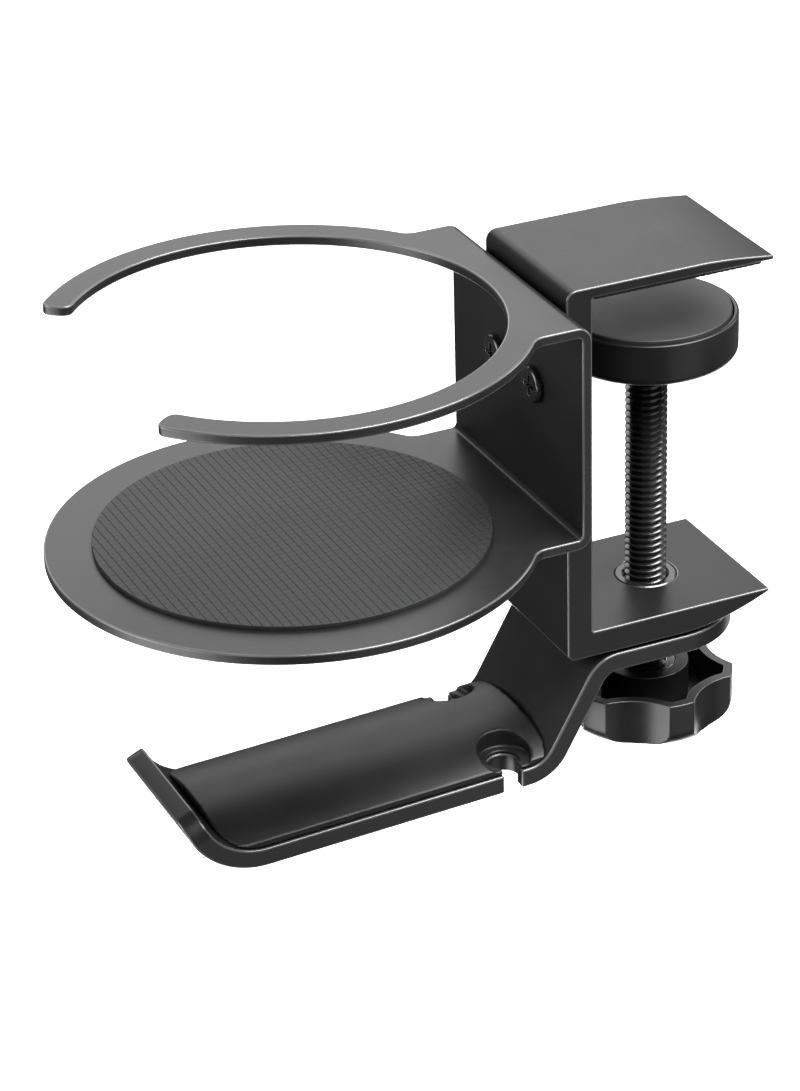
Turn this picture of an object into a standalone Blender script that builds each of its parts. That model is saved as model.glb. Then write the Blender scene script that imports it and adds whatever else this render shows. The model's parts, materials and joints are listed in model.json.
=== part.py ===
"""Desk clamp cup holder with a swivelling headphone hanger, one object for each separate piece.

Frame: the origin is on the clamp screw's axis, on the gripping face of the upper jaw.
+X points from the cup ring to the open end of the jaws, +Y across the width and +Z up.
Sizes are in millimetres and are turned into metres where a mesh is made.
"""

import math

import bmesh
import bpy
from mathutils import Matrix, Vector

MM = 0.001

# Clamp frame: a cast C with a thick back and lower jaw, and a thinner upper jaw.
CLAMP_WIDTH = 39.0
CLAMP_BACK_X = -29.7
WEB = 6.2
UPPER_JAW_TOP = 3.15
UPPER_JAW_UNDERSIDE = 0.6
UPPER_JAW_TIP = (20.5, 1.6)
UPPER_TAPER_START_X = 3.0
LOWER_JAW_TOP = -79.9
LOWER_JAW_BOTTOM = -86.1
LOWER_JAW_TIP = (21.3, -80.6)
LOWER_TAPER_START_X = 0.0
CLAMP_CORNER = 2.5
CLAMP_CHAMFER = 1.2
LINER_THICKNESS = 0.5
LINER_ENDS_X = (-22.8, 17.6)
LINER_WIDTH = 38.0

# Cup bracket: one bent sheet with an open ring above and a round base below.
SHEET = 2.3
BRACKET_WIDTH = 63.1
BRACKET_BACK_X = -29.8
RING_TOP = 0.37
BASE_TOP = -49.3
OUTER_BEND = 3.5
INNER_BEND = 1.2
CUP_X = -86.2
RING_OUTER = 53.6
RING_INNER = 46.9
RING_TIP_ANGLE = 142.0
RING_TIP_LENGTH = 2.6
FLARE_FILLET = 4.0
MAT_RADIUS = 43.2
MAT_THICKNESS = 1.0

# Screws that hold the bracket to the clamp.
SCREW_Y = 9.3
SCREW_Z = -21.6
SCREW_HEAD = 4.2
SCREW_HEAD_HEIGHT = 1.6
SCREW_SHANK = 2.4
SCREW_LENGTH = 7.0
SHANK_HOLE = 2.7

# Clamp screw with its pressure pad.
THREAD_CREST = 4.76
THREAD_ROOT = 3.9
THREAD_PITCH = 1.5875
THREAD_TOP = -24.6
ROD_BOTTOM = -110.2
NECK = 4.0
NECK_TOP = -20.0
PAD_RADIUS = 20.2
PAD_TOP = -14.3
PAD_BOTTOM = -24.2
PAD_WALL = 1.1
INLAY_TOP = -13.6

# Threaded bushing in the lower jaw, which the hanger turns on.
BUSHING = 7.0
BUSHING_BORE = 4.85
JOURNAL = 6.2
BUSHING_BOTTOM = -94.2
NUT_ACROSS_FLATS = 18.0

# Hanger: a bent plate with a slanted leg, a nearly level bar and an upturned lip.
PLATE = 4.4
HANGER_TOP = -86.9
HANGER_ROUND = 19.5
LEG_CORNER = (-20.8, HANGER_TOP - PLATE / 2, 6.6)
BAR_CORNER = (-34.4, -112.7, 9.0)
LIP_CORNER = (-114.3, -115.9, 16.8)
LIP_END = (-120.1, -103.0)
LIP_ROUND = 6.0
KEYHOLE_X = -43.5
KEYHOLE_Y = 14.0
KEYHOLE_RADIUS = 3.6
SLOT_WIDTH = 4.3

# Crowned pad on the bar.
SADDLE_WIDTH = 37.8
SADDLE_SIDE = 1.6
SADDLE_CROWN = 5.9
SADDLE_LEFT_X = -112.8
SADDLE_CORNER = 5.0
RECESS_RADIUS = 6.0
RECESS_FLOOR_Z = -109.8

# Star knob: a hollow moulding with six lobes, a hub and a knurled insert.
KNOB_TOP = -104.1
KNOB_BOTTOM = -115.3
KNOB_RADIUS = 20.2
KNOB_WAIST = 16.9
KNOB_LOBES = 6
KNOB_LOBE_HALF = 9.0
KNOB_FIRST_LOBE = -33.0
KNOB_WALL = 2.2
KNOB_FOOT = 4.2
KNOB_FLOOR = 2.8
HUB_RADIUS = 10.0
HUB_TOP = -102.0
INSERT_RADIUS = 7.0
COUNTERBORE_RADIUS = 5.6
COUNTERBORE_DEPTH = 2.5

# Clearance between pieces that rest on each other.
GAP = 0.1

ROUND = 40


def clear_scene():
    for obj in list(bpy.data.objects):
        bpy.data.objects.remove(obj, do_unlink=True)


def make_material(name, color, roughness, metallic):
    material = bpy.data.materials.new(name)
    material.use_nodes = True
    shader = material.node_tree.nodes["Principled BSDF"]
    shader.inputs["Base Color"].default_value = (*color, 1.0)
    shader.inputs["Roughness"].default_value = roughness
    shader.inputs["Metallic"].default_value = metallic
    return material


# Flat outlines, as lists of points in millimetres.


def arc(center, radius, start, end, count):
    """Points along an arc between two angles in degrees, both ends included."""
    steps = [math.radians(start + (end - start) * i / count) for i in range(count + 1)]
    return [(center[0] + radius * math.cos(a), center[1] + radius * math.sin(a)) for a in steps]


def circle(center, radius, count=ROUND):
    return arc(center, radius, 0, 360 * (count - 1) / count, count - 1)


def eased(start, end, power, count):
    """Points from start to end that leave start level and steepen as they go."""
    points = []
    for i in range(count + 1):
        t = i / count
        rise = (end[1] - start[1]) * t**power
        points.append((start[0] + (end[0] - start[0]) * t, start[1] + rise))
    return points


def rounded_path(corners, per_bend):
    """Points and headings along straight runs whose inner corners (x, z, radius) are bends."""
    path = []
    vectors = [Vector(corner[:2]) for corner in corners]
    for i, here in enumerate(vectors):
        if i == 0 or i == len(vectors) - 1:
            ahead = (vectors[1] - here) if i == 0 else (here - vectors[i - 1])
            path.append((here, ahead.normalized()))
            continue
        before = (here - vectors[i - 1]).normalized()
        after = (vectors[i + 1] - here).normalized()
        turn = before.angle_signed(after)
        radius = corners[i][2]
        start = here - before * radius * math.tan(abs(turn) / 2)
        side = -math.copysign(1, turn)
        center = start + Vector((-before.y, before.x)) * radius * side
        for step in range(per_bend + 1):
            heading = before.copy()
            heading.rotate(Matrix.Rotation(-turn * step / per_bend, 2))
            path.append((center - Vector((-heading.y, heading.x)) * radius * side, heading))
    return path


def offset_path(path, distance):
    """The path moved to its left by the distance."""
    moved = [point + Vector((-heading.y, heading.x)) * distance for point, heading in path]
    return [tuple(point) for point in moved]


# Solids.


def link_mesh(name, build, material=None, parent=None):
    build.normal_update()
    bmesh.ops.recalc_face_normals(build, faces=build.faces)
    mesh = bpy.data.meshes.new(name)
    build.to_mesh(mesh)
    build.free()
    obj = bpy.data.objects.new(name, mesh)
    bpy.context.scene.collection.objects.link(obj)
    if material:
        mesh.materials.append(material)
    obj.parent = parent
    return obj


def place(axis, a, b, height):
    """A point of an outline (a, b) at a height along an axis, in metres."""
    point = {"X": (height, a, b), "Y": (a, height, b), "Z": (a, b, height)}[axis]
    return Vector(point) * MM


def orientation(axis):
    """Turns a drawing in the XY plane so that its outline and height follow place()."""
    columns = [place(axis, 1, 0, 0), place(axis, 0, 1, 0), place(axis, 0, 0, 1)]
    return (Matrix(columns).transposed() * (1 / MM)).to_4x4()


def prism(name, outline, low, high, axis="Z", **linked):
    """A filled 2D curve, extruded between two heights along an axis and made a mesh."""
    curve = bpy.data.curves.new(name, "CURVE")
    curve.dimensions = "2D"
    curve.fill_mode = "BOTH"
    curve.extrude = (high - low) / 2 * MM
    spline = curve.splines.new("POLY")
    spline.points.add(len(outline) - 1)
    for point, (a, b) in zip(spline.points, outline):
        point.co = (a * MM, b * MM, 0.0, 1.0)
    spline.use_cyclic_u = True
    drawing = bpy.data.objects.new(name, curve)
    bpy.context.scene.collection.objects.link(drawing)
    graph = bpy.context.evaluated_depsgraph_get()
    mesh = bpy.data.meshes.new_from_object(drawing.evaluated_get(graph))
    bpy.data.objects.remove(drawing)
    build = bmesh.new()
    build.from_mesh(mesh)
    bmesh.ops.remove_doubles(build, verts=build.verts, dist=1e-7)
    bmesh.ops.dissolve_limit(build, angle_limit=1e-4, verts=build.verts, edges=build.edges)
    middle = place(axis, 0, 0, (low + high) / 2)
    build.transform(Matrix.Translation(middle) @ orientation(axis))
    return link_mesh(name, build, **linked)


def cylinder(name, at, radius, low, high, axis="Z", steps=24, **linked):
    """A round bar or a drill, centred at (a, b) across the axis."""
    build = bmesh.new()
    height = (high - low) * MM
    size = radius * MM
    bmesh.ops.create_cone(build, cap_ends=True, segments=steps, radius1=size, radius2=size, depth=height)
    middle = place(axis, *at, (low + high) / 2)
    build.transform(Matrix.Translation(middle) @ orientation(axis))
    return link_mesh(name, build, **linked)


def lathe(name, profile, material=None, parent=None, steps=ROUND, closed=True):
    """A shape turned round the Z axis from (radius, height) points, down the outside first.

    A closed profile makes a ring. An open one starts and ends on the axis."""
    mesh = bpy.data.meshes.new(name)
    points = [(radius * MM, 0.0, height * MM) for radius, height in profile]
    edges = [(i, i + 1) for i in range(len(points) - 1)]
    if closed:
        edges.append((len(points) - 1, 0))
    mesh.from_pydata(points, edges, [])
    obj = bpy.data.objects.new(name, mesh)
    bpy.context.scene.collection.objects.link(obj)
    if material:
        mesh.materials.append(material)
    obj.parent = parent
    turn = obj.modifiers.new("turn", "SCREW")
    turn.steps = steps
    turn.render_steps = steps
    turn.use_merge_vertices = True
    turn.merge_threshold = 1e-5
    turn.use_smooth_shade = False
    return obj


def ring(name, inner, outer, bottom, top, **linked):
    """A plain washer. The profile runs down the outside and up the inside."""
    profile = [(outer, top), (outer, bottom), (inner, bottom), (inner, top)]
    return lathe(name, profile, steps=28, **linked)


def helper(obj):
    """Keeps a cutter out of the render."""
    for collection in list(obj.users_collection):
        collection.objects.unlink(obj)
    bpy.data.collections["cutters"].objects.link(obj)
    obj.hide_render = True
    obj.display_type = "WIRE"
    return obj


def combine(obj, operation, other):
    step = obj.modifiers.new(f"{operation.lower()}_{other.name}", "BOOLEAN")
    step.operation = operation
    step.solver = "EXACT"
    step.object = helper(other)


def threaded_rod(low, high, segments=10):
    """A rod with a right-handed thread. Its vertices lie on two helices, at the root and the crest."""
    build = bmesh.new()
    turns = int((high - low) / THREAD_PITCH) - 1
    columns = []
    for i in range(segments):
        angle = math.tau * i / segments
        column = []
        for k in range(2 * turns + 1):
            height = low + THREAD_PITCH * (0.5 + k / 2 + i / segments)
            radius = THREAD_CREST if k % 2 else THREAD_ROOT
            place_at = (radius * math.cos(angle), radius * math.sin(angle), height)
            column.append(build.verts.new(Vector(place_at) * MM))
        columns.append(column)
    core = circle((0, 0), THREAD_ROOT, segments)
    bottom = [build.verts.new(place("Z", *point, low)) for point in core]
    top = [build.verts.new(place("Z", *point, high)) for point in core]
    build.faces.new(bottom)
    build.faces.new(top)
    for i in range(segments - 1):
        here, after = columns[i], columns[i + 1]
        build.faces.new((bottom[i], bottom[i + 1], after[0], here[0]))
        build.faces.new((here[-1], after[-1], top[i + 1], top[i]))
        for k in range(len(here) - 1):
            build.faces.new((here[k], after[k], after[k + 1], here[k + 1]))
    last, first = columns[-1], columns[0]
    build.faces.new((bottom[-1], bottom[0], first[0], first[1], first[2], last[0]))
    build.faces.new((last[-3], first[-1], top[0], top[-1], last[-1], last[-2]))
    for k in range(len(last) - 3):
        build.faces.new((last[k], first[k + 2], first[k + 3], last[k + 1]))
    return build


# Pieces of the clamp.


def clamp_outline():
    web_x = CLAMP_BACK_X + WEB
    corner = (CLAMP_BACK_X + CLAMP_CORNER, UPPER_JAW_TOP - CLAMP_CORNER)
    points = arc(corner, CLAMP_CORNER, 180, 90, 5)
    points += eased((UPPER_TAPER_START_X, UPPER_JAW_TOP), UPPER_JAW_TIP, 1.6, 6)
    points += [(UPPER_JAW_TIP[0], UPPER_JAW_UNDERSIDE), (web_x, UPPER_JAW_UNDERSIDE)]
    points += [(web_x, LOWER_JAW_TOP), (LOWER_JAW_TIP[0], LOWER_JAW_TOP)]
    underside = eased((LOWER_TAPER_START_X, LOWER_JAW_BOTTOM), LOWER_JAW_TIP, 1.7, 8)
    points += reversed(underside)
    points += [(CLAMP_BACK_X + CLAMP_CHAMFER, LOWER_JAW_BOTTOM)]
    points += [(CLAMP_BACK_X, LOWER_JAW_BOTTOM + CLAMP_CHAMFER)]
    return points


def make_clamp_frame(material, parent):
    half = CLAMP_WIDTH / 2
    frame = prism("clamp_frame", clamp_outline(), -half, half, "Y", material=material, parent=parent)
    low, high = LOWER_JAW_BOTTOM - 2, LOWER_JAW_TOP + 2
    combine(frame, "DIFFERENCE", cylinder("bushing_seat", (0, 0), BUSHING + GAP, low, high, steps=ROUND))
    for side in (-1, 1):
        at = (side * SCREW_Y, SCREW_Z)
        low, high = CLAMP_BACK_X - 1, CLAMP_BACK_X + SCREW_LENGTH - SHEET + 1
        drill = cylinder(f"tapped_hole_{side}", at, SCREW_SHANK + GAP, low, high, "X", steps=16)
        combine(frame, "DIFFERENCE", drill)


def make_jaw_liner(material, parent):
    low, high = LINER_ENDS_X
    half = LINER_WIDTH / 2
    outline = [(low, -half), (high, -half), (high, half), (low, half)]
    prism("jaw_liner", outline, 0.0, LINER_THICKNESS, material=material, parent=parent)


def make_threaded_bushing(material, parent):
    profile = [
        (BUSHING, LOWER_JAW_TOP),
        (BUSHING, LOWER_JAW_BOTTOM - GAP),
        (JOURNAL, LOWER_JAW_BOTTOM - GAP),
        (JOURNAL, BUSHING_BOTTOM),
        (BUSHING_BORE, BUSHING_BOTTOM),
        (BUSHING_BORE, LOWER_JAW_TOP - 0.6),
        (BUSHING_BORE + 0.6, LOWER_JAW_TOP),
    ]
    lathe("threaded_bushing", profile, material=material, parent=parent, steps=28)


# The cup bracket and what is fixed to it.


def flare(side):
    """The concave fillet between the bracket's straight edge and the ring, and where it starts."""
    edge = BRACKET_WIDTH / 2
    center_y = edge + FLARE_FILLET
    reach = math.sqrt((RING_OUTER + FLARE_FILLET) ** 2 - center_y**2)
    meeting = math.degrees(math.atan2(center_y, reach))
    points = arc((CUP_X + reach, center_y), FLARE_FILLET, -90, meeting - 180, 5)
    return [(x, side * y) for x, y in points], meeting


def ring_tip(side):
    """The rounded end of one arm, from the outer edge to the inner edge."""
    middle = (RING_OUTER + RING_INNER) / 2
    half = (RING_OUTER - RING_INNER) / 2
    straight_end = RING_TIP_ANGLE - math.degrees(RING_TIP_LENGTH / middle)
    points = []
    for step in range(1, 10):
        turn = math.pi * step / 10
        across = math.copysign(abs(math.cos(turn)) ** 0.75, math.cos(turn))
        along = math.sin(turn) ** 0.75
        angle = math.radians(straight_end + math.degrees(RING_TIP_LENGTH * along / middle))
        radius = middle + half * across
        points.append((CUP_X + radius * math.cos(angle), side * radius * math.sin(angle)))
    return points, straight_end


def ring_outline():
    edge = BRACKET_WIDTH / 2
    near_flare, meeting = flare(-1)
    far_flare, _ = flare(1)
    near_tip, straight_end = ring_tip(-1)
    far_tip, _ = ring_tip(1)
    points = [(BRACKET_BACK_X + 5, -edge)] + near_flare
    points += arc((CUP_X, 0), RING_OUTER, -meeting, -straight_end, 28)[1:]
    points += near_tip
    points += arc((CUP_X, 0), RING_INNER, -straight_end, straight_end, 60)
    points += reversed(far_tip)
    points += arc((CUP_X, 0), RING_OUTER, straight_end, meeting, 28)[:-1]
    return points + far_flare[::-1] + [(BRACKET_BACK_X + 5, edge)]


def base_outline():
    edge = BRACKET_WIDTH / 2
    near_flare, meeting = flare(-1)
    far_flare, _ = flare(1)
    points = [(BRACKET_BACK_X + 5, -edge)] + near_flare
    points += arc((CUP_X, 0), RING_OUTER, -meeting, meeting - 360, 72)[1:-1]
    return points + far_flare[::-1] + [(BRACKET_BACK_X + 5, edge)]


def bent_sheet_outline():
    """The bracket's side view: ring flange, upright and base flange, with rounded bends."""
    left = CUP_X - RING_OUTER - 5
    inner_x = BRACKET_BACK_X - SHEET
    base_bottom = BASE_TOP - SHEET
    ring_bottom = RING_TOP - SHEET
    back = BRACKET_BACK_X - OUTER_BEND
    front = inner_x - INNER_BEND
    points = [(left, RING_TOP)]
    points += arc((back, RING_TOP - OUTER_BEND), OUTER_BEND, 90, 0, 5)
    points += arc((back, base_bottom + OUTER_BEND), OUTER_BEND, 0, -90, 5)
    points += [(left, base_bottom), (left, BASE_TOP)]
    points += arc((front, BASE_TOP + INNER_BEND), INNER_BEND, -90, 0, 3)
    points += arc((front, ring_bottom - INNER_BEND), INNER_BEND, 0, 90, 3)
    return points + [(left, ring_bottom)]


def make_cup_bracket(material, parent):
    middle = (RING_TOP + BASE_TOP) / 2
    bracket = prism("cup_bracket", ring_outline(), middle, RING_TOP + 5, material=material, parent=parent)
    combine(bracket, "UNION", prism("base_plan", base_outline(), BASE_TOP - 8, middle + 1))
    width = RING_OUTER + 5
    combine(bracket, "INTERSECT", prism("bent_sheet", bent_sheet_outline(), -width, width, "Y"))
    low, high = BRACKET_BACK_X - SHEET - 2, BRACKET_BACK_X + 2
    for side in (-1, 1):
        at = (side * SCREW_Y, SCREW_Z)
        drill = cylinder(f"shank_hole_{side}", at, SHANK_HOLE, low, high, "X", steps=16)
        combine(bracket, "DIFFERENCE", drill)


def make_cup_mat(material, parent):
    top = MAT_THICKNESS
    bevel = 0.3
    profile = [(0, top), (MAT_RADIUS - bevel, top), (MAT_RADIUS, top - bevel), (MAT_RADIUS, 0), (0, 0)]
    mat = lathe("cup_mat", profile, material, parent, steps=64, closed=False)
    mat.location = place("Z", CUP_X, 0, BASE_TOP + GAP)


def make_screw(name, at, seat, length, axis, material, parent):
    """A pan-head machine screw with a cross recess, its head before the seat along the axis."""
    profile = [
        (0, length),
        (SCREW_SHANK - 0.5, length),
        (SCREW_SHANK, length - 0.5),
        (SCREW_SHANK, 0),
        (SCREW_HEAD, 0),
        (SCREW_HEAD * 0.98, -SCREW_HEAD_HEIGHT * 0.5),
        (SCREW_HEAD * 0.86, -SCREW_HEAD_HEIGHT * 0.84),
        (SCREW_HEAD * 0.62, -SCREW_HEAD_HEIGHT),
        (0, -SCREW_HEAD_HEIGHT),
    ]
    screw = lathe(name, profile, material, parent, steps=24, closed=False)
    combine(screw, "DIFFERENCE", cross_recess(f"{name}_recess"))
    screw.matrix_local = Matrix.Translation(place(axis, *at, seat)) @ orientation(axis)
    return screw


def cross_recess(name):
    """The cutter for a cross-shaped driver recess in a screw's head, on the Z axis."""
    arm, half = 2.3, 0.55
    quarter = [(arm, -half), (arm, half), (half, half)]
    outline = []
    for turn in range(4):
        outline += [tuple(Vector(point) @ Matrix.Rotation(-turn * math.pi / 2, 2)) for point in quarter]
    return prism(name, outline, -SCREW_HEAD_HEIGHT - 1, 1.2 - SCREW_HEAD_HEIGHT)


# The pressure pad.


def make_pad_cup(material, parent):
    inner = PAD_RADIUS - PAD_WALL
    floor = PAD_BOTTOM + 2.1
    ledge = PAD_BOTTOM + 4.5
    profile = [(PAD_RADIUS - 0.4, PAD_TOP), (PAD_RADIUS, PAD_TOP - 0.4)]
    profile += arc((PAD_RADIUS - 2.0, PAD_BOTTOM + 2.0), 2.0, 0, -90, 4)
    profile += [(THREAD_CREST + 0.3, PAD_BOTTOM), (THREAD_CREST + 0.3, floor)]
    profile += [(10.5, floor), (10.5, ledge), (inner, ledge), (inner, PAD_TOP)]
    lathe("pad_cup", profile, material=material, parent=parent)


def make_pad_plate(material, parent):
    inner = PAD_RADIUS - PAD_WALL - 0.4
    bottom = PAD_BOTTOM + 4.5 + GAP
    linked = {"material": material, "parent": parent}
    cylinder("pad_plate", (0, 0), inner, bottom, bottom + 2.0, steps=ROUND, **linked)


def make_pad_inlay(material, parent):
    radius = PAD_RADIUS - PAD_WALL - 0.35
    bottom = PAD_BOTTOM + 6.5 + 2 * GAP
    bevel = 0.5
    profile = [(0, INLAY_TOP), (radius - bevel, INLAY_TOP), (radius, INLAY_TOP - bevel)]
    profile += [(radius, bottom), (0, bottom)]
    lathe("pad_inlay", profile, material, parent, steps=48, closed=False)


# The clamp screw and its knob.


def make_clamp_screw(material, parent):
    build = threaded_rod(ROD_BOTTOM, THREAD_TOP)
    rod = link_mesh("clamp_screw", build, material, parent)
    combine(rod, "UNION", cylinder("rod_neck", (0, 0), THREAD_ROOT - GAP, THREAD_TOP - 2, NECK_TOP))
    low, high = ROD_BOTTOM - 1, ROD_BOTTOM + 7
    bore = cylinder("rod_end_bore", (0, 0), SCREW_SHANK + GAP, low, high, steps=16)
    combine(rod, "DIFFERENCE", bore)


def make_screw_flange(material, parent):
    """The washer riveted on the rod's tip, which turns inside the pressure pad."""
    bottom = PAD_BOTTOM + 2.1 + 0.3
    ring("screw_flange", NECK + GAP, 9.6, bottom, bottom + 1.4, material=material, parent=parent)


def star_radius(angle, inset):
    """The knob's radius at an angle in degrees, moved inwards by an inset."""
    pitch = 360 / KNOB_LOBES
    from_scallop = (angle - KNOB_FIRST_LOBE) % pitch - pitch / 2
    half = math.radians(pitch / 2 - KNOB_LOBE_HALF)
    chord, depth = KNOB_RADIUS * math.sin(half), KNOB_RADIUS * math.cos(half) - KNOB_WAIST
    scallop = (chord**2 + depth**2) / (2 * depth)
    distance = KNOB_WAIST + scallop
    turn = math.radians(from_scallop)
    under_root = (scallop + inset) ** 2 - (distance * math.sin(turn)) ** 2
    if under_root <= 0:
        return KNOB_RADIUS - inset
    return min(KNOB_RADIUS - inset, distance * math.cos(turn) - math.sqrt(under_root))


def star_outline(inset):
    points = []
    for step in range(120):
        angle = KNOB_FIRST_LOBE + 3 * step
        radius = star_radius(angle, inset)
        turn = math.radians(angle)
        points.append((radius * math.cos(turn), radius * math.sin(turn)))
    return points


def foot_profile():
    """The body that rounds the knob's lower edge, a little wider than the lobes above it."""
    outer = KNOB_RADIUS + GAP
    center = (outer - KNOB_FOOT, KNOB_BOTTOM + KNOB_FOOT)
    foot = arc(center, KNOB_FOOT, 0, -90, 5)
    return [(0, KNOB_TOP + 1), (outer, KNOB_TOP + 1)] + foot + [(0, KNOB_BOTTOM)]


def make_knob(material, parent):
    knob = prism("knob", star_outline(0.0), KNOB_BOTTOM, KNOB_TOP, material=material, parent=parent)
    combine(knob, "INTERSECT", lathe("knob_foot", foot_profile(), steps=60, closed=False))
    floor = KNOB_BOTTOM + KNOB_FLOOR
    middle = (0, 0)
    combine(knob, "DIFFERENCE", prism("knob_pocket", star_outline(KNOB_WALL), floor, KNOB_TOP + 1))
    combine(knob, "UNION", cylinder("knob_hub", middle, HUB_RADIUS, floor - 1, HUB_TOP, steps=ROUND))
    low, high = ROD_BOTTOM - 0.3, HUB_TOP + 1
    seat = cylinder("insert_seat", middle, INSERT_RADIUS + GAP, low, high, steps=ROUND)
    combine(knob, "DIFFERENCE", seat)
    low = KNOB_BOTTOM - 1
    combine(knob, "DIFFERENCE", cylinder("knob_screw_hole", middle, SHANK_HOLE, low, ROD_BOTTOM))
    high = KNOB_BOTTOM + COUNTERBORE_DEPTH
    counterbore = cylinder("knob_counterbore", middle, COUNTERBORE_RADIUS, low, high, steps=ROUND)
    combine(knob, "DIFFERENCE", counterbore)


def make_knob_insert(material, parent):
    top = HUB_TOP - 0.2
    ring("knob_insert", BUSHING_BORE, INSERT_RADIUS, ROD_BOTTOM, top, material=material, parent=parent)


def make_knob_screw(material, parent):
    """The screw that fixes the knob to the rod's end, entered from below."""
    seat = KNOB_BOTTOM + COUNTERBORE_DEPTH - GAP
    make_screw("knob_screw", (0, 0), seat, ROD_BOTTOM + 6 - seat, "Z", material, parent)


# The hanger.


def hanger_path(per_bend=6):
    start = (HANGER_ROUND + 2, LEG_CORNER[1])
    return rounded_path([start, LEG_CORNER, BAR_CORNER, LIP_CORNER, LIP_END], per_bend)


def hanger_plan():
    """The plate seen from above: round at the screw, with small corners at the lip."""
    half = CLAMP_WIDTH / 2
    left, corner = LIP_END[0] - 6, 4.0
    points = arc((0, 0), HANGER_ROUND, -90, 90, 20)
    points += arc((left + corner, half - corner), corner, 90, 180, 4)
    points += arc((left + corner, corner - half), corner, 180, 270, 4)
    return points


def keyhole(side, radius):
    """A round hole with a slot out to one edge."""
    half_slot = math.degrees(math.asin(SLOT_WIDTH / 2 / radius))
    points = arc((KEYHOLE_X, KEYHOLE_Y), radius, 90 + half_slot, 450 - half_slot, 20)
    far = CLAMP_WIDTH / 2 + 4
    points += [(KEYHOLE_X + SLOT_WIDTH / 2, far), (KEYHOLE_X - SLOT_WIDTH / 2, far)]
    return [(x, side * y) for x, y in points]


def lip_corner(side):
    """What is cut off the lip's upper corner, drawn across the lip and up from its end."""
    half = CLAMP_WIDTH / 2
    points = arc((half - LIP_ROUND, -LIP_ROUND), LIP_ROUND, 90, 0, 4)
    points += [(half + 3, -LIP_ROUND), (half + 3, 3), (half - LIP_ROUND, 3)]
    return [(side * y, up) for y, up in points]


def make_hanger_bracket(material, parent):
    path = hanger_path()
    outline = offset_path(path, -PLATE / 2) + offset_path(path, PLATE / 2)[::-1]
    half = CLAMP_WIDTH / 2
    hanger = prism("hanger_bracket", outline, -half, half, "Y", material=material, parent=parent)
    combine(hanger, "INTERSECT", prism("hanger_plan", hanger_plan(), LIP_CORNER[1] - 10, HANGER_TOP + 5))
    low, high = HANGER_TOP - PLATE - 2, HANGER_TOP + 2
    combine(hanger, "DIFFERENCE", cylinder("pivot_hole", (0, 0), JOURNAL + GAP, low, high, steps=ROUND))
    for side in (-1, 1):
        slot = prism(f"plate_keyhole_{side}", keyhole(side, KEYHOLE_RADIUS), -122, -105)
        combine(hanger, "DIFFERENCE", slot)
        corner = prism(f"lip_corner_{side}", lip_corner(side), -6, 6, "X")
        corner.location = Vector((LIP_END[0], 0, LIP_END[1])) * MM
        corner.rotation_euler.y = math.atan2(LIP_END[0] - LIP_CORNER[0], LIP_END[1] - LIP_CORNER[1])
        bpy.context.view_layer.update()
        combine(hanger, "DIFFERENCE", corner)


def saddle_side_view():
    """What lies above the bar, between the leg and the saddle's left end."""
    surface = offset_path(hanger_path(), -PLATE / 2 - GAP)
    above = [point for point in surface if SADDLE_LEFT_X < point[0] < LEG_CORNER[0] - 8]
    right = above[0]
    left_height = left_end_height(surface)
    return above + [(SADDLE_LEFT_X, left_height), (SADDLE_LEFT_X, -95), (right[0], -95)]


def left_end_height(surface):
    """The height of the bar's upper surface at the saddle's left end."""
    for here, after in zip(surface, surface[1:]):
        if here[0] >= SADDLE_LEFT_X >= after[0]:
            share = (here[0] - SADDLE_LEFT_X) / (here[0] - after[0])
            return here[1] + share * (after[1] - here[1])
    raise ValueError("the saddle's left end is off the bar")


def crown_outline():
    """The saddle's cross-section, with heights above the bar's upper surface."""
    half = SADDLE_WIDTH / 2
    rise = SADDLE_CROWN - SADDLE_SIDE
    radius = (half**2 + rise**2) / (2 * rise)
    spread = math.degrees(math.asin(half / radius))
    points = arc((0, SADDLE_CROWN - radius), radius, 90 - spread, 90 + spread, 16)
    return points + [(-half, -12), (half, -12)]


def make_hanger_pad(material, parent):
    half = SADDLE_WIDTH / 2
    left, corner = SADDLE_LEFT_X, SADDLE_CORNER
    plan = [(-25, -half), (-25, half)]
    plan += arc((left + corner, half - corner), corner, 90, 180, 5)
    plan += arc((left + corner, corner - half), corner, 180, 270, 5)
    pad = prism("hanger_pad", plan, -122, -96, material=material, parent=parent)
    combine(pad, "INTERSECT", prism("saddle_side_view", saddle_side_view(), -half - 3, half + 3, "Y"))
    bar = Vector(BAR_CORNER[:2]) - Vector(LIP_CORNER[:2])
    crown = prism("saddle_crown", crown_outline(), -95, 15, "X")
    crown.location = Vector((BAR_CORNER[0], 0, BAR_CORNER[1] + PLATE / 2)) * MM
    crown.rotation_euler.y = -math.atan2(bar.y, bar.x)
    combine(pad, "INTERSECT", crown)
    for side in (-1, 1):
        combine(pad, "DIFFERENCE", prism(f"pad_keyhole_{side}", keyhole(side, KEYHOLE_RADIUS), -122, -100))
        at = (KEYHOLE_X, side * (KEYHOLE_Y + 0.6))
        recess = cylinder(f"pad_recess_{side}", at, RECESS_RADIUS, RECESS_FLOOR_Z, -100, steps=28)
        combine(pad, "DIFFERENCE", recess)


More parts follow.
